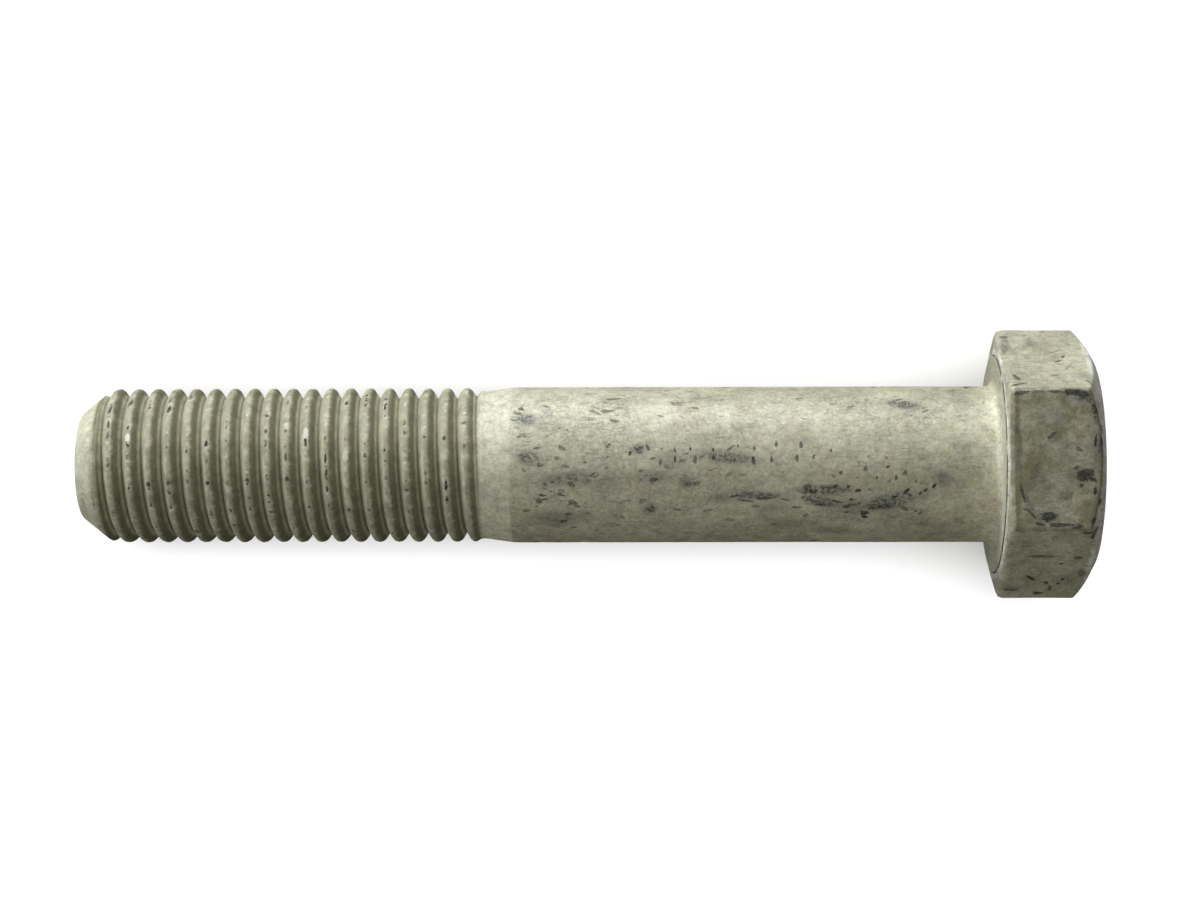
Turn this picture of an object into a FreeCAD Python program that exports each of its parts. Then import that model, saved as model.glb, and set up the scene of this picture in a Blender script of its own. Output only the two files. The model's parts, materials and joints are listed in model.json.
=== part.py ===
import FreeCAD, Part
import os
import Sketcher

# Hex bolt M24 x 140, one forged and rolled piece of steel.
# The bolt lies along X: the origin is the centre of the bearing face under the head, the head
# stands towards +X, the shank and the tip point towards -X, and two flats face +Z and -Z.
# Lengths are in millimetres and angles in degrees.

SIZES = (
    # hexagon head
    ("across_flats", 36.0),
    ("head_height", 14.9),
    ("head_face_diameter", 32.2),
    ("head_chamfer_angle", 30.0),
    ("washer_face_diameter", 33.4),
    ("washer_face_height", 0.15),
    ("underside_angle", 6.0),
    ("corner_round", 0.9),
    # plain shank, and the fillet that joins it to the head
    ("bolt_length", 140.5),
    ("shank_diameter", 24.0),
    ("head_fillet", 1.2),
    ("shank_end", 73.6),
    # bare neck between the shank and the thread
    ("neck_diameter", 22.7),
    ("neck_start", 77.6),
    ("neck_end", 79.5),
    # thread, measured from the tip, and the groove's start on the +Z side just off the tip
    ("thread_size", 24.0),
    ("thread_pitch", 3.0),
    ("thread_turns", 21.0),
    ("crest_diameter", 23.8),
    ("root_round", 0.43),
    ("groove_start", 141.76),
    ("groove_clearance", 0.3),
    ("thread_lead_out", 80.1),
    ("runout_turns", 0.5),
    ("runout_rise", 1.6),
    # pointed end
    ("tip_cone_length", 4.6),
    ("tip_face_diameter", 16.5),
)

# The basic triangle of a 60 degree thread: its height is sqrt(3) / 2 times the pitch, and its apex
# lies 7/8 of that height inside the nominal size.
APEX_RADIUS = "(Sizes.thread_size / 2 - 7 / 16 * sqrt(3) * Sizes.thread_pitch)"
GROOVE_TOP_RADIUS = "(Sizes.crest_diameter / 2 + Sizes.groove_clearance)"
ROOT_ROUND_RADIUS = f"({APEX_RADIUS} + 1.5 * Sizes.root_round)"
ORIGIN_POINT = (-1, 1)
X_AXIS, Y_AXIS = -1, -2
START, END = 1, 2


def fill_sheet(doc):
    sheet = doc.addObject("Spreadsheet::Sheet", "Sizes")
    for row, (alias, value) in enumerate(SIZES, start=1):
        sheet.set(f"A{row}", alias.replace("_", " "))
        sheet.set(f"B{row}", str(value))
        sheet.setAlias(f"B{row}", alias)
    doc.recompute()
    return sheet


def origin_plane(body, role):
    for feature in body.Origin.OriginFeatures:
        if feature.Role == role:
            return feature
    raise LookupError(role)


def new_sketch(body, name, plane_role):
    sketch = body.newObject("Sketcher::SketchObject", name)
    sketch.AttachmentSupport = (origin_plane(body, plane_role), [""])
    sketch.MapMode = "FlatFace"
    return sketch


def value_of(sketch, expression):
    value = sketch.evalExpression(expression)
    return float(getattr(value, "Value", value))


def bind(sketch, kind, elements, expression):
    """Add one dimension to the sketch and tie it to the sheet."""
    value = value_of(sketch, expression)
    index = sketch.addConstraint(Sketcher.Constraint(kind, *elements, value))
    sketch.setExpression(f"Constraints[{index}]", expression)


def place_point(sketch, edge, end, place):
    """Tie one end of an edge to its place, given as two expressions."""
    across, up = place
    for kind, axis, expression in (("DistanceX", Y_AXIS, across), ("DistanceY", X_AXIS, up)):
        if expression == "0":
            sketch.addConstraint(Sketcher.Constraint("PointOnObject", edge, end, axis))
        else:
            bind(sketch, kind, (*ORIGIN_POINT, edge, end), expression)


def vector_of(sketch, place):
    across, up = place
    return FreeCAD.Vector(value_of(sketch, across), value_of(sketch, up), 0)


def closed_outline(sketch, places):
    """Straight edges from place to place and back to the first."""
    count = len(places)
    for index, place in enumerate(places):
        ends = vector_of(sketch, place), vector_of(sketch, places[(index + 1) % count])
        sketch.addGeometry(Part.LineSegment(*ends), False)
    for index in range(count):
        following = (index + 1) % count
        sketch.addConstraint(Sketcher.Constraint("Coincident", index, END, following, START))
    for index, place in enumerate(places):
        place_point(sketch, index, START, place)


def make_head(doc, body):
    """A hexagonal prism with rounded corners, chamfered outside and with a washer face under it."""
    hexagon = new_sketch(body, "hexagon", "YZ_Plane")
    corner = "Sizes.across_flats / sqrt(3)"
    angles = range(0, 360, 60)
    places = []
    for angle in angles:
        up = "0" if angle % 180 == 0 else f"{corner} * sin({angle} deg)"
        places.append((f"{corner} * cos({angle} deg)", up))
    closed_outline(hexagon, places)
    doc.recompute()

    prism = body.newObject("PartDesign::Pad", "head_prism")
    prism.Profile = hexagon
    prism.setExpression("Length", "Sizes.head_height")
    doc.recompute()
    if prism.Shape.BoundBox.XMax < 1:
        prism.Reversed = True
        doc.recompute()

    rounded = body.newObject("PartDesign::Fillet", "head_corners")
    rounded.Base = (prism, edges_along_x(prism.Shape))
    rounded.setExpression("Radius", "Sizes.corner_round")
    doc.recompute()

    outside = "Sizes.across_flats"
    slope = "tan(Sizes.head_chamfer_angle * 1 deg)"
    face = "Sizes.head_face_diameter / 2"
    outer_drop = f"Sizes.head_height - ({outside} - {face}) * {slope}"
    outer = (("Sizes.head_height", face), ("Sizes.head_height", outside), (outer_drop, outside))
    turned_off(doc, body, "head_chamfer", outer)

    washer = "Sizes.washer_face_diameter / 2"
    step = "Sizes.washer_face_height"
    rise = f"{step} + ({outside} - {washer}) * tan(Sizes.underside_angle * 1 deg)"
    inner = (("0", washer), (step, washer), (rise, outside), ("0", outside))
    return turned_off(doc, body, "washer_face", inner)


def edges_along_x(shape):
    names = []
    for number, edge in enumerate(shape.Edges, start=1):
        first, last = edge.Vertexes[0].Point, edge.Vertexes[-1].Point
        if abs(first.x - last.x) > 1:
            names.append(f"Edge{number}")
    return names


def turned_off(doc, body, name, places):
    """Remove the ring that this outline sweeps round the bolt's axis."""
    outline = new_sketch(body, f"{name}_outline", "XZ_Plane")
    closed_outline(outline, places)
    doc.recompute()
    before = body.Shape.Volume
    groove = body.newObject("PartDesign::Groove", name)
    groove.Profile = outline
    groove.ReferenceAxis = (outline, ["H_Axis"])
    groove.Angle = 360
    doc.recompute()
    if not groove.Shape.Volume < before:
        raise ValueError(f"{name} removes nothing")
    return groove


def make_shank(doc, body):
    """The shank, the neck, the plain blank of the thread and the pointed end, turned as one."""
    shank = "Sizes.shank_diameter / 2"
    neck = "Sizes.neck_diameter / 2"
    crest = "Sizes.crest_diameter / 2"
    places = (
        ("Sizes.head_height / 2", "0"),
        ("Sizes.head_height / 2", shank),
        ("-Sizes.shank_end", shank),
        ("-Sizes.neck_start", neck),
        ("-Sizes.neck_end", neck),
        ("-Sizes.thread_lead_out", crest),
        ("Sizes.tip_cone_length - Sizes.bolt_length", crest),
        ("-Sizes.bolt_length", "Sizes.tip_face_diameter / 2"),
        ("-Sizes.bolt_length", "0"),
    )
    outline = new_sketch(body, "shank_outline", "XZ_Plane")
    closed_outline(outline, places)
    doc.recompute()
    turned = body.newObject("PartDesign::Revolution", "shank")
    turned.Profile = outline
    turned.ReferenceAxis = (outline, ["H_Axis"])
    turned.Angle = 360
    doc.recompute()

    fillet = body.newObject("PartDesign::Fillet", "head_fillet")
    fillet.Base = (turned, shank_edge_at_head(turned.Shape))
    fillet.setExpression("Radius", "Sizes.head_fillet")
    doc.recompute()
    return fillet


def shank_edge_at_head(shape):
    names = []
    for number, edge in enumerate(shape.Edges, start=1):
        curve = edge.Curve
        if isinstance(curve, Part.Circle) and abs(curve.Center.x) < 0.01 and curve.Radius < 15:
            names.append(f"Edge{number}")
    return names


def groove_outline(doc, body, name, middle):
    """A 60 degree groove with a round root, centred on an expression for its place along X."""
    outline = new_sketch(body, name, "XZ_Plane")
    half_top = f"({GROOVE_TOP_RADIUS} - {APEX_RADIUS}) / sqrt(3)"
    half_root = "1.5 * Sizes.root_round / sqrt(3)"
    top_left = (f"{middle} - {half_top}", GROOVE_TOP_RADIUS)
    root_left = (f"{middle} - {half_root}", ROOT_ROUND_RADIUS)
    root_right = (f"{middle} + {half_root}", ROOT_ROUND_RADIUS)
    top_right = (f"{middle} + {half_top}", GROOVE_TOP_RADIUS)
    root_bottom = (middle, f"{APEX_RADIUS} + Sizes.root_round")

    corners = [vector_of(outline, place) for place in (top_left, root_left, root_right, top_right)]
    left_flank, right_flank, lid, root = range(4)
    outline.addGeometry(Part.LineSegment(corners[0], corners[1]), False)
    outline.addGeometry(Part.LineSegment(corners[2], corners[3]), False)
    outline.addGeometry(Part.LineSegment(corners[3], corners[0]), False)
    outline.addGeometry(Part.Arc(corners[1], vector_of(outline, root_bottom), corners[2]), False)
    joined = (
        (right_flank, END, lid, START),
        (lid, END, left_flank, START),
        (left_flank, END, root, START),
        (right_flank, START, root, END),
    )
    for pair in joined:
        outline.addConstraint(Sketcher.Constraint("Coincident", *pair))
    place_point(outline, left_flank, START, top_left)
    place_point(outline, left_flank, END, root_left)
    place_point(outline, right_flank, START, root_right)
    place_point(outline, right_flank, END, top_right)
    bind(outline, "Radius", (root,), "Sizes.root_round")
    doc.recompute()
    return outline


def helical_groove(doc, body, name, outline, height, angle=None):
    before = body.Shape.Volume
    groove = body.newObject("PartDesign::SubtractiveHelix", name)
    groove.Profile = outline
    groove.ReferenceAxis = (outline, ["H_Axis"])
    groove.Mode = "pitch-height-angle"
    groove.setExpression("Pitch", "Sizes.thread_pitch")
    groove.setExpression("Height", height)
    if angle:
        groove.setExpression("Angle", angle)
    doc.recompute()
    if not groove.Shape.Volume < before:
        raise ValueError(f"{name} removes nothing")
    return groove


def make_thread(doc, body):
    """A right-hand thread: one groove of whole turns, then a short one that rises out of the neck."""
    length = "Sizes.thread_turns * Sizes.thread_pitch"
    outline = groove_outline(doc, body, "thread_outline", "-Sizes.groove_start")
    helical_groove(doc, body, "thread", outline, length)

    runout_length = "Sizes.runout_turns * Sizes.thread_pitch"
    runout_middle = f"({length} - Sizes.groove_start)"
    runout_outline = groove_outline(doc, body, "runout_outline", runout_middle)
    rise = f"atan(Sizes.runout_rise / ({runout_length}))"
    return helical_groove(doc, body, "thread_runout", runout_outline, runout_length, rise)


def check(doc, body):
    for feature in doc.Objects:
        if {"Invalid", "Error"} & set(feature.State):
            raise ValueError(f"{feature.Name} is {feature.State}")
    shape = body.Shape
    if shape.isNull() or not shape.isValid() or len(shape.Solids) != 1:
        raise ValueError(f"{body.Label} is not one valid solid")


def main():
    doc = FreeCAD.newDocument("hex_bolt")
    fill_sheet(doc)
    body = doc.addObject("PartDesign::Body", "bolt")
    body.Label = "bolt"
    body.Placement = FreeCAD.Placement()
    make_head(doc, body)
    make_shank(doc, body)
    body.Tip = make_thread(doc, body)
    doc.recompute()
    check(doc, body)

    os.makedirs("parts", exist_ok=True)
    body.Shape.exportStep(f"parts/{body.Label}.step")
    print(f"{body.Label}: {body.Shape.Volume:.0f} mm3")


main()
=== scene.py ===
import json
import math
import bmesh
import bpy
import numpy as np
from mathutils import Matrix, Vector


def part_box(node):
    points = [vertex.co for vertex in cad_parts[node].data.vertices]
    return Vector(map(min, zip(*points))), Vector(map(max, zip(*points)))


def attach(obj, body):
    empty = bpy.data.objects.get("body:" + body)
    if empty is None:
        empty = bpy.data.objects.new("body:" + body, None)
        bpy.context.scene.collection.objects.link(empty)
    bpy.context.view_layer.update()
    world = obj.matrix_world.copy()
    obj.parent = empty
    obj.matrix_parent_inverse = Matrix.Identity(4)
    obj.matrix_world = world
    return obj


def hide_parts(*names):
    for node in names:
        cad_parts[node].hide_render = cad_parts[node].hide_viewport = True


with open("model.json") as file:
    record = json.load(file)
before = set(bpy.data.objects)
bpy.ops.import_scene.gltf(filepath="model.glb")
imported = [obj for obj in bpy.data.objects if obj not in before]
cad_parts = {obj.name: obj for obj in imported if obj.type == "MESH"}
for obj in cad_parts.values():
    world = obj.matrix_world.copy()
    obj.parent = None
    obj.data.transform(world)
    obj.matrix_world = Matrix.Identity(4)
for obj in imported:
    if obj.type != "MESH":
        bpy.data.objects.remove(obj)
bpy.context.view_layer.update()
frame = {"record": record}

# A hex bolt, lying on one flat of its head. The axis is X: the bearing face under the head is at
# X = 0, the head's outer face looks to +X, the tip to -X, and two flats look up and down.
# Lengths below are in millimetres until a mesh is made. A place on the round of the bolt is given
# by how far it is from the bearing face and by its angle round from the top towards +Y.

MM = 0.001
FULL_TURN = 2 * math.pi
mounts = {mount["name"]: mount for mount in frame["record"]["mounts"]}
bolt_low, bolt_high = (np.array(corner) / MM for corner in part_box("bolt"))

SHANK_RADIUS = mounts["shank"]["dims"]["r_mm"]
CREST_RADIUS = mounts["thread"]["dims"]["r_mm"]
TIP = float(bolt_low[0])
HEAD_HEIGHT = float(bolt_high[0])
APOTHEM = float(bolt_high[2])

# rolled thread
PITCH = 3.0
CREST_AT_SEAM = -132.1
CREST_ROUND = 0.93
FLANK_SLOPE = math.sqrt(3)
ROOT_RADIUS = 10.28
ROOT_SOFTNESS = 0.10
RUNOUT_START, RUNOUT_END = -80.2, -78.2
THREAD_START, THREAD_END = TIP + 0.5, -72.8

# pointed end, and the neck between the thread and the shank
TIP_FACE_RADIUS = 8.25
TIP_SLOPE = 0.79
TIP_SOFTNESS = 0.35
TIP_THREAD = 137.2
NECK_RADIUS = 11.36
NECK_FALL, NECK_RISE = -79.9, -78.6
NECK_SLOPE = 0.14
NECK_SOFTNESS = 0.12
SHANK_START = -73.6

# head
CORNER_ROUND = 0.9
HEAD_FACE_RADIUS = 16.1
WASHER_RADIUS = 16.7
WASHER_STEP = 0.15
UNDERSIDE_SLOPE = math.tan(math.radians(6))
CHAMFER_SLOPE = math.tan(math.radians(30))
EDGE_BREAK = 0.8
FILLET = 1.2

# mesh
COLUMNS = 180
SHANK_ROW = 0.75
CORNER_PARTS = 4


# --- numbers ------------------------------------------------------------------------------------

def soft_min(a, b, width):
    share = np.clip(0.5 + (b - a) / (2 * width), 0, 1)
    return b + (a - b) * share - width * share * (1 - share)


def soft_max(a, b, width):
    return -soft_min(-a, -b, width)


def smooth_step(start, end, value):
    share = np.clip((value - start) / (end - start), 0, 1)
    return share * share * (3 - 2 * share)


def noise(points, size, seed):
    """Smooth noise from -1 to 1, with lumps about size across, the same in every run."""
    grid = points / size + seed * 17.31
    cell = np.floor(grid).astype(np.int64)
    share = grid - cell
    share = share * share * (3 - 2 * share)
    total = np.zeros(len(grid))
    for corner in np.ndindex(2, 2, 2):
        key = (cell + corner) @ np.array([374761393, 668265263, 1442695041]) + seed * 974711
        key = (key ^ (key >> 13)) * 1274126177
        value = ((key ^ (key >> 16)) & 0xFFFF) / 0x7FFF - 1
        total += value * np.prod(np.where(corner, share, 1 - share), axis=1)
    return total


# --- the bolt's shape ---------------------------------------------------------------------------

def blank_radius(x):
    """What the thread is rolled into: the crests, the neck and the shank."""
    neck = soft_min(SHANK_RADIUS + NECK_SLOPE * (x - SHANK_START), SHANK_RADIUS, NECK_SOFTNESS)
    neck = soft_max(neck, NECK_RADIUS, NECK_SOFTNESS)
    return CREST_RADIUS + (neck - CREST_RADIUS) * smooth_step(NECK_FALL, NECK_RISE, x)


def thread_form(off_crest):
    """How far the surface drops beside a crest: an arc over the crest, then straight flanks."""
    arc_end = CREST_ROUND * math.sin(math.radians(60))
    on_arc = CREST_ROUND - np.sqrt(CREST_ROUND ** 2 - np.minimum(off_crest, arc_end) ** 2)
    return on_arc + FLANK_SLOPE * np.maximum(off_crest - arc_end, 0)


def thread_radius(x, angle):
    """The right-hand thread's surface, its last groove rising out of the neck."""
    turn = (x - CREST_AT_SEAM) / PITCH - angle / FULL_TURN
    groove = np.floor(turn) + 0.5
    off_crest = PITCH / 2 - np.abs(turn - groove) * PITCH
    blank = blank_radius(x)
    wall = soft_max(CREST_RADIUS - thread_form(off_crest), ROOT_RADIUS, ROOT_SOFTNESS)
    wall = soft_min(wall, TIP_FACE_RADIUS + TIP_SLOPE * (x - TIP), TIP_SOFTNESS)
    groove_x = CREST_AT_SEAM + PITCH * (groove + angle / FULL_TURN)
    fade = smooth_step(RUNOUT_START, RUNOUT_END, groove_x)
    fade = np.maximum(fade, smooth_step(NECK_FALL + 0.6, NECK_RISE + 0.6, x))
    return wall + (blank - wall) * fade


def thread_rows():
    """Where the helical rows cross the seam: closer together on the crests and in the roots."""
    steps = (0.16, 0.32, 0.48, 0.66, 0.86, 1.12, 1.36)
    offsets = sorted([0.0, PITCH / 2, *steps, *(-step for step in steps)])
    first = math.floor((THREAD_START - PITCH - CREST_AT_SEAM) / PITCH) - 1
    last = math.ceil((THREAD_END - CREST_AT_SEAM) / PITCH) + 1
    rows = [CREST_AT_SEAM + PITCH * n + offset for n in range(first, last + 1) for offset in offsets]
    before = [x for x in rows if x <= THREAD_START - PITCH]
    beyond = [x for x in rows if x >= THREAD_END]
    return np.array([x for x in rows if before[-1] <= x <= beyond[0]]), len(offsets)


def ring(x, radius, angles):
    return np.stack([np.full(len(angles), x), radius * np.cos(angles), radius * np.sin(angles)], 1)


def hexagon_points():
    """The hexagon's outline with rounded corners, one point for each column."""
    per_side = COLUMNS // 6
    reach = (APOTHEM - CORNER_ROUND) / math.cos(math.radians(30))
    points = []
    for side in range(6):
        corner = math.radians(60 * side)
        ends = []
        for turned in (corner, corner + math.radians(60)):
            ends.append(reach * np.array([math.cos(turned), math.sin(turned)]))
        for step in range(per_side):
            from_end = min(step, per_side - step)
            swing = math.radians(30) * min(1, from_end / CORNER_PARTS)
            if step > per_side / 2:
                swing = math.radians(60) - swing
            flat_share = (step - CORNER_PARTS) / (per_side - 2 * CORNER_PARTS)
            centre = ends[0] + (ends[1] - ends[0]) * min(1, max(0, flat_share))
            facing = corner + swing
            points.append(centre + CORNER_ROUND * np.array([math.cos(facing), math.sin(facing)]))
    return np.array(points)


def at_x(x, outline):
    return np.column_stack([np.broadcast_to(x, len(outline)), outline])


def rounded_rows(stations):
    """Rows of points through the stations. A station is (points, edge rounding, parts after it)."""
    rows = []
    for index, (here, rounding, parts) in enumerate(stations):
        start = here
        if rounding:
            before = stations[index - 1][0] - here
            after = stations[index + 1][0] - here
            before = here + before * (rounding / np.linalg.norm(before, axis=1, keepdims=True))
            start = here + after * (rounding / np.linalg.norm(after, axis=1, keepdims=True))
            rows += [before, (before + 2 * here + start) / 4]
        rows.append(start)
        if index + 1 < len(stations):
            end, next_rounding = stations[index + 1][0], stations[index + 1][1]
            if next_rounding:
                back = start - end
                end = end + back * (next_rounding / np.linalg.norm(back, axis=1, keepdims=True))
            rows += [start + (end - start) * part / parts for part in range(1, parts)]
    return rows


def bolt_rows(angles):
    """Planar rows up to the thread, the thread's helical rows, then planar rows to the head face."""
    middle = np.zeros((COLUMNS, 3))
    tip_start = float(thread_radius(np.array([THREAD_START]), np.array([0.0]))[0])
    tip = rounded_rows([
        (middle + [TIP + 0.25, 0, 0], 0, 8),
        (ring(TIP, TIP_FACE_RADIUS, angles), 0.3, 1),
        (ring(THREAD_START, tip_start, angles), 0, 1),
    ])[1:-1]

    seam_places, rows_in_turn = thread_rows()
    thread = []
    for place in seam_places:
        x = np.clip(place + PITCH * angles / FULL_TURN, THREAD_START, THREAD_END)
        radius = thread_radius(x, angles)
        thread.append(np.stack([x, radius * np.cos(angles), radius * np.sin(angles)], 1))

    shank = []
    count = round((-FILLET - THREAD_END) / SHANK_ROW)
    for x in np.linspace(THREAD_END, -FILLET, count + 1)[1:]:
        shank.append(ring(x, SHANK_RADIUS, angles))
    for swing in np.linspace(0, math.pi / 2, 8)[1:-1]:
        x = FILLET * (math.sin(swing) - 1)
        shank.append(ring(x, SHANK_RADIUS + FILLET * (1 - math.cos(swing)), angles))

    outline = hexagon_points()
    reach = np.linalg.norm(outline, axis=1)
    outward = outline / reach[:, None]
    inner_x = WASHER_STEP + (reach - WASHER_RADIUS) * UNDERSIDE_SLOPE
    outer_x = HEAD_HEIGHT - (reach - HEAD_FACE_RADIUS) * CHAMFER_SLOPE
    head = rounded_rows([
        (ring(0, SHANK_RADIUS + FILLET, angles), 0, 4),
        (ring(0, WASHER_RADIUS - 0.05, angles), 0.05, 1),
        (ring(WASHER_STEP, WASHER_RADIUS + 0.05, angles), 0.03, 3),
        (at_x(inner_x, outline), EDGE_BREAK, 16),
        (at_x(outer_x, outline), 0.3, 4),
        (at_x(HEAD_HEIGHT, outward * HEAD_FACE_RADIUS), 0.35, 10),
        (middle + [HEAD_HEIGHT - 0.12, 0, 0], 0, 1),
    ])[:-1]
    return tip, thread, shank + head, rows_in_turn


def bolt_mesh():
    angles = np.arange(COLUMNS) * FULL_TURN / COLUMNS
    tip, thread, after, rows_in_turn = bolt_rows(angles)
    rows = [*tip, *thread, *after]
    points = np.concatenate(rows)
    first_helical, first_after = len(tip), len(tip) + len(thread)

    faces = []
    for row in range(len(rows) - 1):
        for column in range(COLUMNS):
            here, beside = row, row
            following = (column + 1) % COLUMNS
            above, above_beside = row + 1, row + 1
            if following == 0 and first_helical <= row < first_after - 1:
                beside = min(row + rows_in_turn, first_after - 1)
                above_beside = min(row + 1 + rows_in_turn, first_after - 1)
            corners = (
                here * COLUMNS + column,
                beside * COLUMNS + following,
                above_beside * COLUMNS + following,
                above * COLUMNS + column,
            )
            faces.append(corners)
    tip_centre, head_centre = len(points), len(points) + 1
    points = np.concatenate([points, [[TIP + 0.25, 0, 0], [HEAD_HEIGHT - 0.12, 0, 0]]])
    last = (len(rows) - 1) * COLUMNS
    for column in range(COLUMNS):
        following = (column + 1) % COLUMNS
        faces.append((tip_centre, following, column))
        faces.append((head_centre, last + column, last + following))

    mesh = bpy.data.meshes.new("bolt_mesh")
    mesh.from_pydata((points * MM).tolist(), [], faces)
    build = bmesh.new()
    build.from_mesh(mesh)
    bmesh.ops.remove_doubles(build, verts=build.verts, dist=0.002 * MM)
    bmesh.ops.recalc_face_normals(build, faces=build.faces)
    build.to_mesh(mesh)
    build.free()
    mesh.shade_smooth()
    return mesh


# --- marks --------------------------------------------------------------------------------------
# a row of nicks: its first and last place, how many, then the nicks' size, turn and darkness
NICK_ROWS = (
    ((56, 8), (30, 13), 9, 1.0, 0.5, 90, 0.65),
    ((52, 0), (28, 3), 9, 1.1, 0.5, 88, 0.75),
    ((40, -27), (20, -35), 9, 2.2, 0.4, 0, 0.6),
    ((14, -25), (10, -18), 4, 1.0, 0.5, 50, 0.85),
)
# a worn place: its stretch along the shank, its stretch around it, how many marks it has, the
# longest of them, a mark's width for its length, their turn and how dark the darkest is
WORN_PLACES = (
    ((64, 74), (-50, 50), 34, 1.5, 0.5, 0, 0.6),
    ((40, 63), (-18, 12), 26, 1.6, 0.45, 20, 0.6),
    ((40, 62), (30, 70), 22, 2.4, 0.3, 0, 0.5),
    ((30, 66), (-55, -28), 18, 1.7, 0.45, 0, 0.6),
    ((10, 30), (-45, -18), 30, 1.5, 0.5, 15, 0.8),
    ((11, 26), (-18, 8), 18, 0.9, 0.6, 60, 0.75),
    ((10, 30), (32, 58), 18, 1.4, 0.3, 10, 0.5),
)
# A knock on the thread: its crest's number, its angle round from the top, its length and width,
# how far its length is turned from the axis, in degrees, and how dark it is. Crest 0 crosses the
# seam at CREST_AT_SEAM, and higher numbers are nearer the head. A darkness below 0 is a bare,
# bright place.
THREAD_MARKS = (
    (-1, 44, 1.8, 0.5, 80, 0.70), (-1, 30, 1.4, 0.4, 95, 0.75), (-1, 20, 1.0, 0.4, 80, 0.60),
    (0, 19, 1.3, 0.9, 85, -0.90), (0, 14, 1.2, 0.4, 110, 0.90), (0, 5, 0.8, 0.5, 90, 0.40),
    (0, 52, 1.5, 0.7, 80, 0.60), (1, -16, 0.8, 0.7, 90, 0.80), (1, -33, 1.0, 0.4, 80, 0.60),
    (2, 44, 1.6, 0.7, 85, 0.75), (2, -15, 0.8, 0.7, 90, 0.60), (2, -35, 0.9, 0.4, 80, 0.60),
    (2, 55, 1.2, 0.5, 80, 0.50), (3, -14, 0.7, 0.6, 0, 0.55), (3, -61, 1.0, 0.8, 80, 0.95),
    (3, 60, 1.4, 0.6, 90, 0.60), (4, 14, 1.0, 0.6, 85, 0.75), (4, -15, 0.7, 0.6, 0, 0.95),
    (5, -15, 0.6, 0.5, 0, 0.40), (5, 27, 0.7, 0.4, 90, 0.45), (6, -13, 0.8, 0.7, 90, 0.85),
    (6, -36, 0.9, 0.4, 80, 0.55), (7, 24, 0.8, 0.5, 90, 0.70), (7, -12, 0.6, 0.5, 0, 0.40),
    (8, 4, 1.3, 0.3, 90, 0.70), (8, -12, 0.8, 0.7, 90, 0.65), (8, 24, 0.6, 0.5, 90, 0.50),
    (8, 52, 1.1, 0.5, 80, 0.55), (9, 16, 2.2, 0.4, 98, 1.00), (9, 22, 2.4, 0.9, 90, -0.60),
    (9, -14, 0.8, 0.4, 90, 0.60), (10, 3, 1.6, 0.4, 90, 0.80), (10, -8, 1.4, 0.4, 80, 0.85),
    (10, -20, 1.0, 0.4, 90, 0.70), (11, 51, 1.0, 0.6, 90, 0.85), (11, 5, 2.0, 0.8, 90, -0.70),
    (12, 5, 0.8, 0.6, 90, 0.65), (12, 62, 1.0, 0.5, 90, 0.60), (13, 47, 1.7, 0.4, 88, 0.95),
    (13, 56, 0.7, 0.5, 0, 0.65), (14, 30, 0.8, 0.5, 90, 0.50), (16, 18, 0.7, 0.5, 90, 0.95),
    (16, -17, 2.0, 0.5, 88, 0.95), (16, -28, 1.0, 0.5, 88, 0.70), (15, -8, 0.7, 0.4, 90, 0.50),
)
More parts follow.
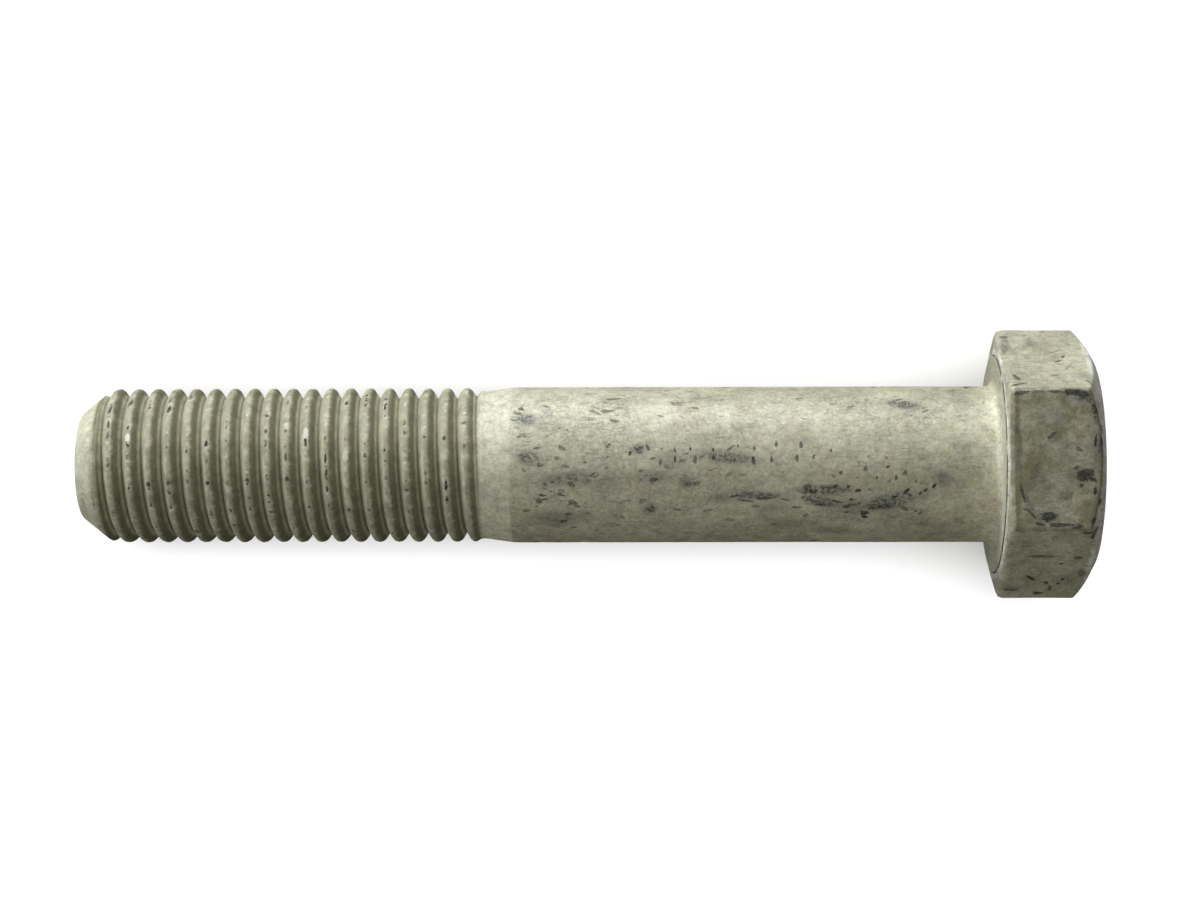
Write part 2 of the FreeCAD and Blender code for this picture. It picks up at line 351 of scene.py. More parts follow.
# A mark on a flat: the way the flat faces, its distance from the bearing face and from the flat's
# middle line, then the same as above.
HEAD_MARKS = (
    (0, 10.9, 9.7, 2.6, 0.9, -15, 0.70), (0, 13.0, 7.4, 1.8, 0.6, -62, 0.60),
    (0, 13.9, 4.4, 1.6, 0.4, -80, 0.60), (0, 4.9, 10.0, 2.0, 0.4, 0, 0.40),
    (0, 2.2, 9.8, 2.4, 0.6, 10, 0.60), (0, 9.4, 9.9, 2.2, 0.9, 0, 0.80),
    (0, 7.2, 10.0, 1.8, 0.5, 0, 0.60), (0, 12.9, 2.7, 2.0, 0.4, 85, 0.85),
    (0, 13.8, 2.8, 2.0, 0.4, 95, 0.70), (0, 11.5, -2.3, 2.8, 1.8, 20, 0.85),
    (0, 10.3, -1.2, 1.4, 0.5, 20, 0.60), (0, 12.4, -2.9, 1.8, 0.7, -35, 0.80),
    (0, 10.9, -3.6, 1.2, 0.7, 60, 0.80), (0, 12.8, -4.7, 1.2, 0.6, 85, 0.80),
    (0, 13.6, -6.2, 1.3, 0.6, 80, 0.70), (0, 10.6, 1.4, 1.3, 0.6, -30, 0.55),
    (0, 6.1, -8.5, 2.3, 1.5, 10, 0.75), (0, 7.6, -9.7, 4.6, 0.6, 0, 0.70),
    (0, 2.2, -5.2, 3.4, 0.4, -75, 0.65), (0, 3.5, -8.1, 2.4, 0.4, -50, 0.65),
    (0, 4.8, -9.6, 1.8, 0.5, -15, 0.70), (0, 10.2, -9.9, 1.8, 0.7, 0, 0.60),
    (0, 12.6, -9.0, 1.4, 0.7, 60, 0.60), (0, 3.0, 3.0, 1.0, 0.3, 60, 0.30),
    (0, 8.6, -5.4, 2.4, 1.4, 20, 0.35), (0, 4.0, -2.0, 3.0, 1.2, 70, 0.30),
    (-60, 6.0, 2.6, 4.2, 0.8, 0, 0.45), (-60, 11.4, 2.3, 1.6, 0.9, 0, 0.55),
    (-60, 9.1, 0.4, 0.8, 0.5, 20, 1.00), (-60, 9.9, -4.2, 0.6, 0.8, 0, 1.00),
    (-60, 7.5, -5.4, 0.6, 0.8, 60, 1.00), (-60, 9.4, -5.7, 0.6, 0.6, 0, 0.95),
    (-60, 6.7, -8.6, 1.6, 0.8, 0, 1.00), (-60, 13.0, 8.4, 1.3, 1.5, 0, 0.65),
    (-60, 12.0, 9.4, 2.0, 0.9, 0, 0.60), (-60, 2.4, -7.6, 2.4, 0.8, 0, 0.50),
    (-60, 12.6, -2.4, 1.4, 2.0, 0, 0.45), (-60, 3.4, 5.6, 2.2, 0.5, 20, 0.35),
    (60, 7.6, -5.8, 1.2, 0.4, 0, 0.55), (60, 5.8, 5.0, 2.2, 2.6, 60, 0.15),
    (60, 5.0, 8.2, 1.4, 0.8, 20, 0.20), (60, 3.4, -3.0, 3.2, 0.3, 15, 0.25),
    (60, 8.4, 2.2, 3.8, 0.3, 35, 0.35), (60, 10.2, -2.8, 2.8, 0.3, 60, 0.30),
    (60, 12.4, -8.2, 1.8, 0.5, -60, 0.45), (60, 1.2, 3.5, 1.2, 3.4, 0, 0.35),
    (60, 1.6, 7.6, 1.4, 1.0, 0, 0.55), (60, 2.0, -8.8, 2.6, 0.7, 20, 0.60),
)
# soft grey smears: one on the shank is given as a knock on the thread is, with its distance from
# the bearing face in place of the crest's number, and one on a flat as a mark on a flat is
SHANK_SMEARS = (
    (26.6, -21, 13.5, 2.4, 0, 1.0), (37.0, -25, 15.0, 2.4, -2, 0.80), (42.0, -27, 9.0, 3.0, 5, 0.50),
    (52.5, -11, 10.0, 3.0, 0, 0.60), (41.0, 3, 14.0, 3.4, -6, 0.75), (14.5, 47, 9.0, 3.4, -10, 0.85), (60.0, -13, 9.0, 4.5, 0, 0.40), (47.3, -15, 3.4, 3.2, 0, 0.95), (54.5, 9, 3.4, 2.6, 0, 0.9), (52.8, -36, 3.6, 2.8, 20, 0.9),
    (45.0, 17, 9.0, 3.4, 12, 0.35), (31.0, 15, 8.0, 3.0, 8, 0.30), (16.6, -30, 13.0, 4.4, 14, 0.90), (27.0, -30, 10.0, 3.0, -12, 0.9),
    (11.5, -24, 5.0, 3.0, 30, 0.55), (23.0, -34, 11.0, 4.5, 0, 0.50), (34.0, -34, 9.0, 4.0, 0, 0.45),
    (25.0, -59, 11.0, 3.6, -6, 0.55), (31.0, -50, 13.0, 3.6, 0, 0.40), (14.0, 45, 10.0, 5.0, 0, 0.35),
    (5.5, 52, 5.0, 4.0, 0, 0.45), (65.0, -12, 13.0, 3.4, 4, 0.65), (67.0, -45, 13.0, 5.0, 0, 0.60),
    (71.5, 33, 6.0, 3.6, 0, 0.85), (71.0, 3, 6.0, 3.6, 0, 0.75), (68.0, 30, 8.0, 5.0, 0, 0.30), (49.5, 2, 10.0, 4.0, 0, 0.35),
    (40.0, 3, 10.0, 5.0, 0, 0.30), (57.0, 50, 10.0, 4.0, 0, 0.30), (43.0, 53, 14.0, 3.0, 0, 0.35),
    (8.9, -13, 4.0, 4.0, 0, 0.60), (62.5, -42, 4.0, 3.4, 0, 0.50),
)
HEAD_SMEARS = (
    (0, 7.4, 5.4, 5.0, 2.0, 85, 0.60), (0, 10.9, 9.4, 6.4, 3.2, -15, 1.0),
    (0, 13.0, 6.6, 6.0, 2.0, -68, 1.0), (0, 13.6, 1.6, 5.6, 1.6, 85, 0.9),
    (0, 12.6, 0.0, 14.0, 2.4, 88, 0.50), (0, 5.6, -8.6, 7.0, 2.6, 0, 0.80),
    (0, 11.2, -2.4, 4.4, 3.2, 20, 0.80), (0, 3.0, -6.4, 6.0, 1.2, -65, 0.85), (0, 4.0, -4.0, 7.0, 4.0, 60, 0.45),
    (0, 1.4, 0.0, 18.0, 2.0, 90, 0.30), (-60, 6.0, 2.6, 8.0, 2.4, 0, 0.50),
    (-60, 11.0, -4.0, 9.0, 6.0, 60, 0.45), (-60, 2.4, -7.0, 6.0, 3.0, 0, 0.50),
    (60, 1.6, 5.0, 9.0, 2.6, 88, 0.60), (60, 5.6, 5.0, 4.0, 4.0, 60, 0.35),
    (60, 12.0, -6.0, 6.0, 3.0, -60, 0.45), (60, 2.4, -7.0, 6.0, 3.0, 60, 0.45),
)

OVER_TOP = 90  # these angles are round from the top, and the mesh's are round from +Y


def on_round(along, around, length, width, turn, dark, radius=SHANK_RADIUS):
    swing = math.radians(around)
    outward = np.array([0, math.sin(swing), math.cos(swing)])
    sideways = np.array([0, math.cos(swing), -math.sin(swing)])
    centre = radius * outward + [-along, 0, 0]
    return placed(centre, sideways, length, width, turn, dark)


def on_crest(turns, around, length, width, turn, dark):
    place = CREST_AT_SEAM + PITCH * (turns + (OVER_TOP - around) / 360) - 0.25
    return on_round(-place, around, length, width, turn, dark, CREST_RADIUS)


def on_flat(facing, along, aside, length, width, turn, dark):
    swing = math.radians(facing)
    outward = np.array([0, math.sin(swing), math.cos(swing)])
    sideways = np.array([0, math.cos(swing), -math.sin(swing)])
    centre = APOTHEM * outward + aside * sideways + [along, 0, 0]
    return placed(centre, sideways, length, width, turn, dark)


def placed(centre, sideways, length, width, turn, dark):
    """A mark's centre, its two half-axes and how dark it is."""
    lean = math.radians(turn)
    along = np.array([1.0, 0, 0])
    long_way = (along * math.cos(lean) + sideways * math.sin(lean)) * length / 2
    short_way = (sideways * math.cos(lean) - along * math.sin(lean)) * width / 2
    return centre, long_way, short_way, dark


def worn_shank():
    """The marks of the nick rows and of the worn places, each a little out of line."""
    chance = np.random.default_rng(61)
    marks = []
    for first, last, count, length, width, turn, dark in NICK_ROWS:
        for along, around in np.linspace(first, last, count):
            along, around = along + chance.normal(0, 0.5), around + chance.normal(0, 1.6)
            size, deep = chance.uniform(0.6, 1.25), chance.uniform(0.6, 1.2)
            lean = turn + chance.normal(0, 8)
            marks.append(on_round(along, around, length * size, width * size, lean, dark * deep))
    for stretch, arc, count, longest, slimness, turn, dark in WORN_PLACES:
        for _ in range(count):
            along, around = chance.uniform(*stretch), chance.uniform(*arc)
            length = longest * chance.uniform(0.25, 1)
            width = max(0.2, length * slimness * chance.uniform(0.6, 1.4))
            lean, deep = turn + chance.normal(0, 18), chance.uniform(0.5, 1)
            marks.append(on_round(along, around, length, width, lean, dark * deep))
    return marks


def scattered_marks():
    """Knocks on every side that has none yet, and small nicks along the crests and edges."""
    chance = np.random.default_rng(24)
    marks = []
    for _ in range(150):
        along, around = chance.uniform(3, 73), chance.uniform(75, 285)
        length = chance.uniform(0.5, 2.0)
        width = length * chance.uniform(0.25, 0.7)
        turn = chance.choice((0, 30, 80, 95)) + chance.normal(0, 12)
        marks.append(on_round(along, around, length, width, turn, chance.uniform(0.35, 0.95)))
    for _ in range(420):
        turns, around = chance.integers(-1, 18), chance.uniform(0, 360)
        size = chance.uniform(0.25, 0.8)
        dark = chance.choice((0.6, 0.45, 0.8, -0.5, -0.6))
        marks.append(on_crest(turns, around, size, size * 0.6, chance.uniform(0, 180), dark))
    for facing in range(0, 360, 60):
        for _ in range(26 if 60 < facing < 300 else 4):
            along, aside = chance.uniform(0.8, 13.6), chance.uniform(-9.8, 9.8)
            length = chance.uniform(0.5, 2.4)
            width = length * chance.uniform(0.2, 0.6)
            turn, dark = chance.uniform(0, 180), chance.uniform(0.3, 0.9)
            marks.append(on_flat(facing, along, aside, length, width, turn, dark))
    return marks


def nearness(points, mark):
    """How far each point is from a mark's middle: 1 is the mark's rim."""
    centre, long_way, short_way, _ = mark
    away = points - centre
    u = away @ long_way / (long_way @ long_way)
    v = away @ short_way / (short_way @ short_way)
    lift = np.cross(long_way, short_way)
    lift /= np.linalg.norm(lift)
    return np.sqrt(u ** 2 + v ** 2 + (away @ lift / 1.5) ** 2)


def mark_faces(mesh, marks):
    """Each face keeps the mark that it is nearest to, and the finish draws that mark's outline."""
    count = len(mesh.polygons)
    middles = np.empty(count * 3)
    mesh.polygons.foreach_get("center", middles)
    middles = middles.reshape(-1, 3) / MM
    closest = np.full(count, 4.0)
    stored = np.zeros((count, 3, 3))
    dark = np.zeros(count)
    for mark in marks:
        centre, long_way, short_way, darkness = mark
        box = np.abs(middles - centre).max(axis=1)
        near = np.flatnonzero(box < 1.2 + np.linalg.norm(long_way) * 1.3)
        gap = nearness(middles[near], mark)
        won = near[gap < closest[near]]
        closest[won] = gap[gap < closest[near]]
        stored[won] = (
            centre * MM,
            long_way / (long_way @ long_way) / MM,
            short_way / (short_way @ short_way) / MM,
        )
        dark[won] = darkness
    for index, name in enumerate(("mark_centre", "mark_length", "mark_width")):
        painted = mesh.attributes.new(name, "FLOAT_VECTOR", "FACE")
        painted.data.foreach_set("vector", stored[:, index].ravel())
    mesh.attributes.new("mark_dark", "FLOAT", "FACE").data.foreach_set("value", dark)


def smear_points(mesh, smears):
    points = np.empty(len(mesh.vertices) * 3)
    mesh.vertices.foreach_get("co", points)
    points = points.reshape(-1, 3) / MM
    total = np.zeros(len(points))
    for smear in smears:
        share = 1 - smooth_step(0.25, 1.0, nearness(points, smear))
        total = np.maximum(total, share * smear[3])
    mesh.attributes.new("smear", "FLOAT", "POINT").data.foreach_set("value", total)


def dent_points(mesh, marks):
    """Knocks that can be felt, the thread's uneven crests and the head's forged waviness."""
    points = np.empty(len(mesh.vertices) * 3)
    mesh.vertices.foreach_get("co", points)
    points = points.reshape(-1, 3) / MM
    outward = np.array([normal.vector for normal in mesh.vertex_normals])
    push = np.zeros(len(points))
    for mark in marks:
        depth = 0.07 * min(1, float(np.linalg.norm(mark[2]) / 0.4)) * abs(mark[3])
        push -= depth * (1 - smooth_step(0.3, 1.25, nearness(points, mark)))
    radius = np.hypot(points[:, 1], points[:, 2])
    on_thread = smooth_step(-72.8, -76, points[:, 0])
    crest = on_thread * smooth_step(11.4, 11.8, radius)
    push += crest * (0.035 * noise(points, 0.9, 3) + 0.03 * noise(points, 2.6, 4))
    head = smooth_step(0.2, 1.5, points[:, 0])
    push += head * (0.05 * noise(points, 5.5, 5) + 0.022 * noise(points, 1.8, 6))
    push += (1 - head) * (1 - on_thread) * 0.012 * noise(points, 3.0, 7)
    end = (points[:, 0] > HEAD_HEIGHT - 0.1) | (points[:, 0] < TIP + 0.1)
    push = np.where(end, np.minimum(push, 0), push)
    mesh.vertices.foreach_set("co", ((points + outward * push[:, None]) * MM).ravel())
    mesh.update()


shape = bolt_mesh()
knocks = worn_shank()
knocks += [on_crest(*mark) for mark in THREAD_MARKS]
knocks += [on_flat(*mark) for mark in HEAD_MARKS]
knocks += scattered_marks()
smears = [on_round(*smear) for smear in SHANK_SMEARS] + [on_flat(*smear) for smear in HEAD_SMEARS]
dent_points(shape, knocks)
mark_faces(shape, knocks)
smear_points(shape, smears)
bolt = bpy.data.objects.new("hex_bolt", shape)
bpy.context.scene.collection.objects.link(bolt)
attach(bolt, "root")
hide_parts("bolt")


# --- finish -------------------------------------------------------------------------------------

class Socket:
    """A node's output. Sums and products of it add Math nodes."""

    def __init__(self, finish, output):
        self.finish = finish
        self.output = output

    def maths(self, operation, *values, clamp=False):
        return self.finish.maths(operation, *values, clamp=clamp)

    def __add__(self, other):
        return self.maths("ADD", self, other)

    def __sub__(self, other):
        return self.maths("SUBTRACT", self, other)

    def __rsub__(self, other):
        return self.maths("SUBTRACT", other, self)

    def __mul__(self, other):
        return self.maths("MULTIPLY", self, other)

    __radd__ = __add__
    __rmul__ = __mul__

    def __truediv__(self, other):
        return self.maths("DIVIDE", self, other)

    def __pow__(self, other):
        return self.maths("POWER", self, other)

    def held(self):
        """The value, held between 0 and 1."""
        return self.maths("ADD", self, 0, clamp=True)

    def least(self, other):
        return self.maths("MINIMUM", self, other)

    def most(self, other):
        return self.maths("MAXIMUM", self, other)

    def step(self, start, end):
        """0 at start and before, 1 at end and beyond, smooth between them."""
        settings = {"interpolation_type": "SMOOTHSTEP"}
        inputs = {"Value": self, "From Min": start, "From Max": end}
        return self.finish.node("ShaderNodeMapRange", settings, inputs)


class Finish:
    """A material under construction."""

    def __init__(self, name):
        self.material = bpy.data.materials.new(name)
        self.material.use_nodes = True
        self.tree = self.material.node_tree
        self.tree.nodes.clear()

    def node(self, kind, settings=None, inputs=None, output=0):
        made = self.tree.nodes.new(kind)
        for name, value in (settings or {}).items():
            setattr(made, name, value)
        for name, value in (inputs or {}).items():
            if isinstance(value, Socket):
                self.tree.links.new(value.output, made.inputs[name])
            else:
                made.inputs[name].default_value = value
        return Socket(self, made.outputs[output]) if made.outputs else None

    def maths(self, operation, *values, clamp=False):
        settings = {"operation": operation, "use_clamp": clamp}
        return self.node("ShaderNodeMath", settings, dict(enumerate(values)))

    def place(self):
        return self.node("ShaderNodeTexCoord", output="Object")

    def painted(self, name, output="Fac"):
        settings = {"attribute_type": "GEOMETRY", "attribute_name": name}
        return self.node("ShaderNodeAttribute", settings, output=output)

    def lumps(self, place, size, detail=2.0, roughness=0.5):
        """Noise from 0 to 1 with lumps about size millimetres across."""
        inputs = {"Vector": place, "Scale": 1 / (size * MM), "Detail": detail, "Roughness": roughness}
        return self.node("ShaderNodeTexNoise", {}, inputs)

    def blend(self, share, first, second):
        settings = {"data_type": "RGBA"}
        inputs = {"Factor": share, 6: first, 7: second}
        return self.node("ShaderNodeMix", settings, inputs, output=2)

    def vector(self, operation, *values, output=0):
        settings = {"operation": operation}
        return self.node("ShaderNodeVectorMath", settings, dict(enumerate(values)), output)

    def surface(self, inputs):
        shader = self.node("ShaderNodeBsdfPrincipled", {}, inputs)
        self.node("ShaderNodeOutputMaterial", {}, {"Surface": shader})


CLEAN_COAT = (0.52, 0.515, 0.39, 1)
STAINED_COAT = (0.40, 0.395, 0.285, 1)
THREAD_COAT = (0.33, 0.325, 0.21, 1)
OLIVE = (0.25, 0.245, 0.13, 1)
RUST = (0.36, 0.25, 0.17, 1)
GREY_SMEAR = (0.15, 0.155, 0.125, 1)
# brown dirt on the head, and also the painted shade on the thread's flank that faces the head
BROWN_DIRT_AND_SHADE = (0.14, 0.13, 0.065, 1)
# the near-black of knocks and nicks, and also the painted shade in the thread's root
KNOCK_AND_SHADE = (0.014, 0.013, 0.008, 1)
# pale bare metal where the coat is worn, and also the colour of painted highlights
BARE_AND_HIGHLIGHT = (0.74, 0.73, 0.65, 1)
STAIN_START = -74.0


def coated_steel():
    finish = Finish("coated_steel")
    place = finish.place()
    along = finish.node("ShaderNodeSeparateXYZ", {}, {0: place}, 0) / MM
    across = finish.node("ShaderNodeSeparateXYZ", {}, {0: place}, 1) / MM
    up = finish.node("ShaderNodeSeparateXYZ", {}, {0: place}, 2) / MM
    cloud = finish.lumps(place, 8.0, 3.0)
    patch = finish.lumps(place, 3.2, 4.0, 0.6)
    mottle = finish.lumps(place, 1.5, 5.0, 0.7)
    grain = finish.lumps(place, 0.5, 3.0, 0.7)
    fleck = finish.lumps(place, 0.3, 2.0, 0.6)
    drawn = finish.vector("MULTIPLY", place, (0.16, 1.0, 1.0))
    streak = finish.lumps(drawn, 0.55, 3.0, 0.6)
    wander = finish.lumps(place, 2.6, 4.0, 0.6)
    turned = finish.vector("ADD", place, (0.05, 0.02, 0.03))
    ragged = finish.lumps(turned, 0.6, 4.0, 0.75)
    crossing = finish.lumps(turned, 3.4, 4.0, 0.55)

    # where on the bolt
    threaded = (along * -1).step(78.4, 79.3) * (along * -1).step(TIP_THREAD + 0.9, TIP_THREAD)
    stained = along.step(STAIN_START - 0.15, STAIN_START + 0.25)
    radius = finish.maths("SQRT", across * across + up * up)
    head = along.step(0.02, 0.12)
    underside = head * (1 - along.step(0.35, 0.6)) * radius.step(WASHER_RADIUS, WASHER_RADIUS + 0.1)
    crevice = radius.step(WASHER_RADIUS - 0.12, WASHER_RADIUS)
    crevice = crevice * (1 - radius.step(WASHER_RADIUS + 0.12, WASHER_RADIUS + 0.3)) * (1 - along.step(0.2, 0.3))
    flat_start = along.step(0.9, 1.3) * (1 - along.step(1.4, 2.3))
    near_top = up.step(APOTHEM - 0.5, APOTHEM - 0.25) * head
    # painted highlight: the head's chamfer and outer rim are painted pale, as if lit from the side
    chamfer_highlight = head * along.step(12.6, 13.6) * radius.step(15.7, 16.3) * (1 - near_top)
    bearing = along.step(-3.2, -1.4) * (1 - head)

    # the thread: painted shade darkens the root and the flank that faces the head, painted highlight lightens the
    # flank that faces the tip, and a thin painted line of thrown light runs low on the shaded flank
    turn = finish.maths("ARCTAN2", up, across) / FULL_TURN
    phase = finish.maths("FRACT", (along - CREST_AT_SEAM) / PITCH - turn + 40.5)
    phase = phase + (mottle - 0.5) * 0.04
    off_crest = finish.maths("ABSOLUTE", phase - 0.5)
    # painted shade along the thread's root
    root = (1 - phase.step(0.04, 0.08) + phase.step(0.965, 0.985)).held() * threaded
    # painted shade on the flank that faces the head
    shaded_flank = phase.step(0.50, 0.66) * (1 - phase.step(0.80, 0.88)) * threaded
    # painted highlight on the flank that faces the tip
    lit_flank = phase.step(0.06, 0.14) * (1 - phase.step(0.24, 0.34)) * threaded
    # painted thrown light: a thin pale line low on the flank that faces the head
    thrown_light_line = phase.step(0.86, 0.90) * (1 - phase.step(0.93, 0.96)) * threaded
    crest = (1 - off_crest.step(0.10, 0.24)) * threaded

    stain = stained * (0.35 + 0.65 * cloud.step(0.35, 0.6)) * (0.6 + 0.4 * along.step(-60, -15))
    # the stain is kept off near the fillet, and off the chamfer where a highlight is painted
    colour = finish.blend((stain - bearing - chamfer_highlight).held(), CLEAN_COAT, STAINED_COAT)
    colour = finish.blend(threaded * 0.9, colour, THREAD_COAT)
    colour = finish.blend(patch.step(0.5, 0.72) * (0.2 + 0.35 * stained), colour, OLIVE)
    rust = finish.lumps(place, 5.0, 2.0).step(0.54, 0.72) * wander.step(0.4, 0.6)
    colour = finish.blend((rust * (0.34 * stained + 0.4 * crest)).held(), colour, RUST)
    # painted shade on the flank that faces the head, in dark brown
    colour = finish.blend(shaded_flank * (0.5 + 0.5 * patch), colour, BROWN_DIRT_AND_SHADE)
    colour = finish.blend((crest * mottle.step(0.5, 0.62) * 0.22).held(), colour, BARE_AND_HIGHLIGHT)
    # painted highlight on the flank that faces the tip, and the painted line of thrown light near the root
    colour = finish.blend((lit_flank * 0.08 + thrown_light_line * 0.35).held(), colour, BARE_AND_HIGHLIGHT)
    dirt = near_top * (0.32 + 0.6 * patch.step(0.38, 0.62)) + near_top * flat_start * 0.5
    dirt = dirt + head * (1 - near_top) * (1 - underside) * patch.step(0.5, 0.66) * 0.2
    colour = finish.blend(dirt.held(), colour, BROWN_DIRT_AND_SHADE)
    # painted highlight on the head's chamfer, broken up by patches
    colour = finish.blend((chamfer_highlight * (0.9 - 0.5 * patch.step(0.5, 0.6))).held(), colour, BARE_AND_HIGHLIGHT)
    edge_line = underside * (1 - radius.step(WASHER_RADIUS + 0.8, WASHER_RADIUS + 1.3))
    colour = finish.blend((underside * 0.15 + edge_line * mottle.step(0.3, 0.5) * 0.7).held(), colour, BARE_AND_HIGHLIGHT)
    # painted shade darkens the thread's root; the crevice at the washer step is darkened too
    colour = finish.blend(root * 0.6 + crevice * patch.step(0.3, 0.5) * 0.85, colour, KNOCK_AND_SHADE)

    smear = finish.painted("smear")
    clusters = smear.step(0.35, 0.9) * ragged.step(0.47, 0.54) * (1 - threaded)
    smear = smear * (0.25 + mottle.step(0.35, 0.6) * 0.85)
    smear = smear * (0.5 + 0.5 * streak.step(0.35, 0.6))
    colour = finish.blend((smear * 1.3).held(), colour, GREY_SMEAR)
    colour = finish.blend((clusters * 0.8).held(), colour, KNOCK_AND_SHADE)
    scuffed = stained * cloud.step(0.38, 0.56)
    streaks = streak.step(0.58, 0.66) * (0.3 + 0.7 * scuffed) * stained * 0.55
    hairline = 1 - finish.maths("ABSOLUTE", wander - 0.5).step(0.002, 0.010)
    hairline = hairline.most(1 - finish.maths("ABSOLUTE", crossing - 0.52).step(0.001, 0.007)) * scuffed * 0.45
    flecks = fleck.step(0.66, 0.74) * (0.3 + 0.4 * stained)
    specks = ragged.step(0.62, 0.68) * (0.4 * stained + 1.0 * crest)
    colour = finish.blend((streaks + hairline + flecks + specks).held(), colour, GREY_SMEAR)
    tone = 1 - crest * 0.16 + (grain - 0.5) * (1.1 - 0.5 * threaded) + (mottle - 0.5) * 1.2 + (patch - 0.5) * 0.9
    tone = tone + (streak - 0.5) * 0.6 * stained
    colour = finish.node("ShaderNodeVectorMath", {"operation": "SCALE"}, {0: colour, "Scale": tone})

    away = finish.vector("SUBTRACT", place, finish.painted("mark_centre", "Vector"))
    u = finish.vector("DOT_PRODUCT", away, finish.painted("mark_length", "Vector"), output="Value")
    v = finish.vector("DOT_PRODUCT", away, finish.painted("mark_width", "Vector"), output="Value")
    v = v / (1 - (u * 0.35))
    reach = finish.maths("SQRT", u * u + v * v) + (ragged - 0.5) * 1.9 + (fleck - 0.5) * 0.6
    dark = finish.painted("mark_dark")
    mark = 1 - reach.step(0.86, 1.08)
    worn = mark * (dark * 1.35).held() * (0.7 + 0.3 * ragged.step(0.42, 0.55))
    bright = mark * (dark * -0.7).held()
    colour = finish.blend(worn.held(), colour, KNOCK_AND_SHADE)
    colour = finish.blend(bright, colour, BARE_AND_HIGHLIGHT)

    hollow = grain * 0.45 + mottle * 0.5 + patch * 0.5 + fleck * 0.25 - mark * 0.9 * worn - hairline * 0.6
    relief = finish.node("ShaderNodeBump", {}, {
        "Strength": 0.9, "Distance": 0.075 * MM, "Height": hollow,
    })
    finish.surface({
        "Base Color": colour,
        "Roughness": 0.48 + 0.14 * patch - 0.08 * bright + threaded * 0.08 + worn * 0.3,
        "Metallic": 0.15 * stained + 0.5 * bright,
        "IOR": 1.65,
        "Normal": relief,
    })
    return finish.material


bolt.data.materials.append(coated_steel())


# --- camera, floor and lights -------------------------------------------------------------------

CAMERA_PLACE = (-51.5, -2.5, 397.4)
CAMERA_TILT = (0.69, 1.30, -0.12)
CAMERA_ROUND = 1.8
CAMERA_LENS = 77.0
FLOOR_TILT = 2.54
FLOOR_SIZE = 6.0
WARM = (1.0, 0.98, 0.84)
COOL = (0.975, 0.98, 1.0)

camera_data = bpy.data.cameras.new("camera")
camera_data.lens = CAMERA_LENS
camera_data.sensor_width = 36
camera_data.clip_start = 0.01
camera = bpy.data.objects.new("camera", camera_data)
bpy.context.scene.collection.objects.link(camera)
camera_turn = Matrix.Identity(3)
for amount, axis in zip(CAMERA_TILT, "XYZ"):
    camera_turn = camera_turn @ Matrix.Rotation(math.radians(amount), 3, axis)
camera_pose = Matrix.Translation(Vector(CAMERA_PLACE) * MM) @ camera_turn.to_4x4()
camera.matrix_world = Matrix.Rotation(math.radians(CAMERA_ROUND), 4, "X") @ camera_pose
bpy.context.scene.camera = camera


def floor_material():
    finish = Finish("pale_floor")
    seen = finish.node("ShaderNodeLightPath", output="Is Camera Ray")
    lit = finish.node("ShaderNodeBsdfDiffuse", {}, {"Color": (0.9, 0.9, 0.9, 1)})
    thrown = finish.node("ShaderNodeBsdfDiffuse", {}, {"Color": (0.05, 0.05, 0.045, 1)})
    shader = finish.node("ShaderNodeMixShader", {}, {0: seen, 1: thrown, 2: lit})
    finish.node("ShaderNodeOutputMaterial", {}, {"Surface": shader})
    return finish.material


floor_mesh = bpy.data.meshes.new("floor")
half = FLOOR_SIZE / 2
floor_mesh.from_pydata([(-half, -half, 0), (half, -half, 0), (half, half, 0), (-half, half, 0)], [], [(0, 1, 2, 3)])
floor_mesh.materials.append(floor_material())
floor = bpy.data.objects.new("floor", floor_mesh)
bpy.context.scene.collection.objects.link(floor)
floor.matrix_world = Matrix.Translation((0, 0, -APOTHEM * MM)) @ Matrix.Rotation(math.radians(FLOOR_TILT), 4, "Y")

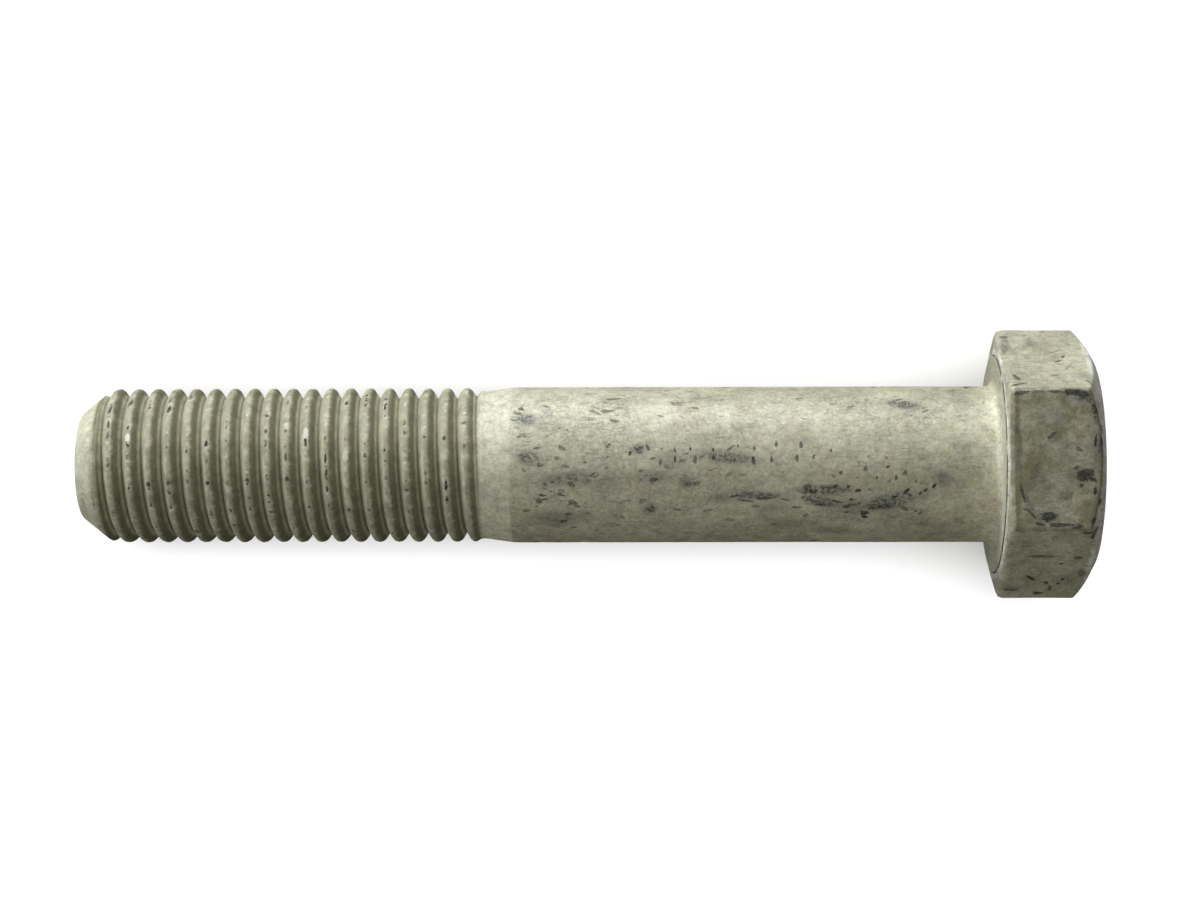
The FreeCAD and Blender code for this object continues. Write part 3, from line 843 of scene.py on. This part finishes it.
bolt_only = bpy.data.collections.new("lit_bolt")
bolt_only.objects.link(bolt)
floor_only = bpy.data.collections.new("lit_floor")
floor_only.objects.link(floor)


def softbox(name, direction, distance, size, power, receivers, colour=(1, 1, 1)):
    lamp = bpy.data.lights.new(name, "AREA")
    lamp.shape = "RECTANGLE"
    lamp.size, lamp.size_y = size
    lamp.energy = power
    lamp.color = colour
    box = bpy.data.objects.new(name, lamp)
    bpy.context.scene.collection.objects.link(box)
    middle = Vector(((TIP + HEAD_HEIGHT) / 2 * MM, 0, 0))
    toward = Vector(direction).normalized()
    turn = toward.to_track_quat("Z", "Y").to_matrix().to_4x4()
    box.matrix_world = Matrix.Translation(middle + toward * distance) @ turn
    box.light_linking.receiver_collection = receivers
    return box


softbox("key", (-0.35, 0.90, 0.25), 0.8, (0.9, 0.4), 10.6, bolt_only, COOL)
softbox("left", (-0.90, -0.25, 0.36), 1.2, (0.6, 0.6), 4.3, bolt_only)
softbox("right", (0.85, 0.3, 0.43), 1.2, (0.6, 0.6), 1.6, bolt_only)
softbox("top", (-0.35, 0.35, 0.87), 1.5, (1.4, 1.0), 4.4, bolt_only)
softbox("fill", (0.1, -0.75, 0.66), 1.2, (0.6, 0.2), 2.2, bolt_only, WARM)

overhead = bpy.data.lights.new("overhead", "SUN")
overhead.energy = 5.0
overhead.angle = math.radians(80)
overhead_object = bpy.data.objects.new("overhead", overhead)
bpy.context.scene.collection.objects.link(overhead_object)
overhead_object.light_linking.receiver_collection = floor_only

world = bpy.data.worlds.new("studio")
bpy.context.scene.world = world
world.use_nodes = True
background = world.node_tree.nodes["Background"]
path = world.node_tree.nodes.new("ShaderNodeLightPath")
strength = world.node_tree.nodes.new("ShaderNodeMapRange")
strength.inputs["To Min"].default_value = 0.05
strength.inputs["To Max"].default_value = 1.0
world.node_tree.links.new(path.outputs["Is Camera Ray"], strength.inputs["Value"])
world.node_tree.links.new(strength.outputs[0], background.inputs["Strength"])
background.inputs["Color"].default_value = (1, 1, 1, 1)
bpy.context.scene.view_settings.view_transform = "Standard"
